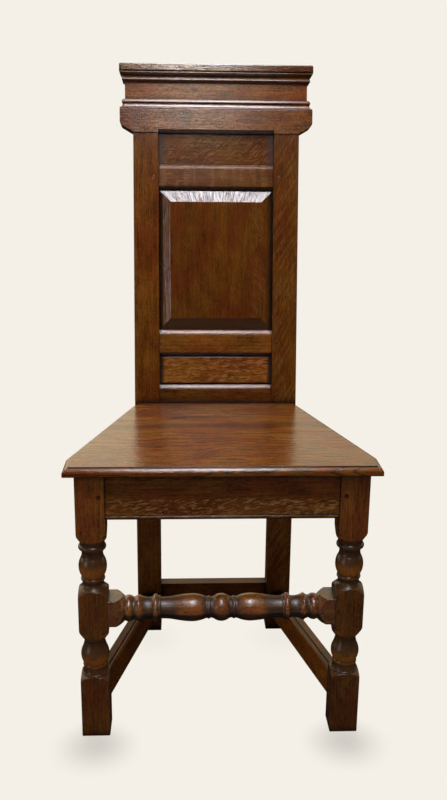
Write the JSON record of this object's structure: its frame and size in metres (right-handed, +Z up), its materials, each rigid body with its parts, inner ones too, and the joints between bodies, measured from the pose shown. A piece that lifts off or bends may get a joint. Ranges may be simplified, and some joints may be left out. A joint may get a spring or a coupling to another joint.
{
  "type": "panel-back side chair",
  "caption": "Joined oak side chair with a raked panelled back, a moulded crest, turned front legs and front stretcher, and a solid board seat.",
  "frame": {"origin": "on the floor, under the middle of the chair's bounding box", "axes": "+X to the viewer's right when facing the front of the chair, +Y from the front to the back, +Z up"},
  "size_m": [0.468, 0.4726, 1.0398],
  "materials": {
    "oak_frame": "waxed and polished dark oak",
    "oak_seat": "glossy polished oak, grain from side to side",
    "oak_panel": "polished dark oak",
    "oak_crest": "waxed and worn oak",
    "oak_peg": "dark end grain"
  },
  "bodies": {
    "root": {"back_rail_pegs": "oak_peg", "base_moulding": "oak_crest", "cap_board": "oak_crest", "centre_panel": "oak_panel", "cornice_moulding": "oak_crest", "crest_pegs": "oak_peg", "crest_rail": "oak_crest", "frieze_board": "oak_crest", "front_seat_rail": "oak_frame", "front_stretcher": "oak_frame", "front_stretcher_pegs": "oak_peg", "left_back_post": "oak_frame", "left_base_return": "oak_crest", "left_cornice_return": "oak_crest", "left_front_leg": "oak_frame", "left_side_seat_rail": "oak_frame", "left_side_stretcher": "oak_frame", "lower_back_rail": "oak_frame", "lower_panel": "oak_panel", "middle_back_rail": "oak_frame", "rear_rail_pegs": "oak_peg", "rear_seat_rail": "oak_frame", "rear_stretcher": "oak_frame", "right_back_post": "oak_frame", "right_base_return": "oak_crest", "right_cornice_return": "oak_crest", "right_front_leg": "oak_frame", "right_side_seat_rail": "oak_frame", "right_side_stretcher": "oak_frame", "seat_board": "oak_seat", "seat_glue_blocks": "oak_frame", "seat_rail_pegs": "oak_peg", "side_rail_pegs": "oak_peg", "side_stretcher_pegs": "oak_peg", "upper_back_rail": "oak_frame", "upper_panel": "oak_panel"}
  },
  "joints": []
}
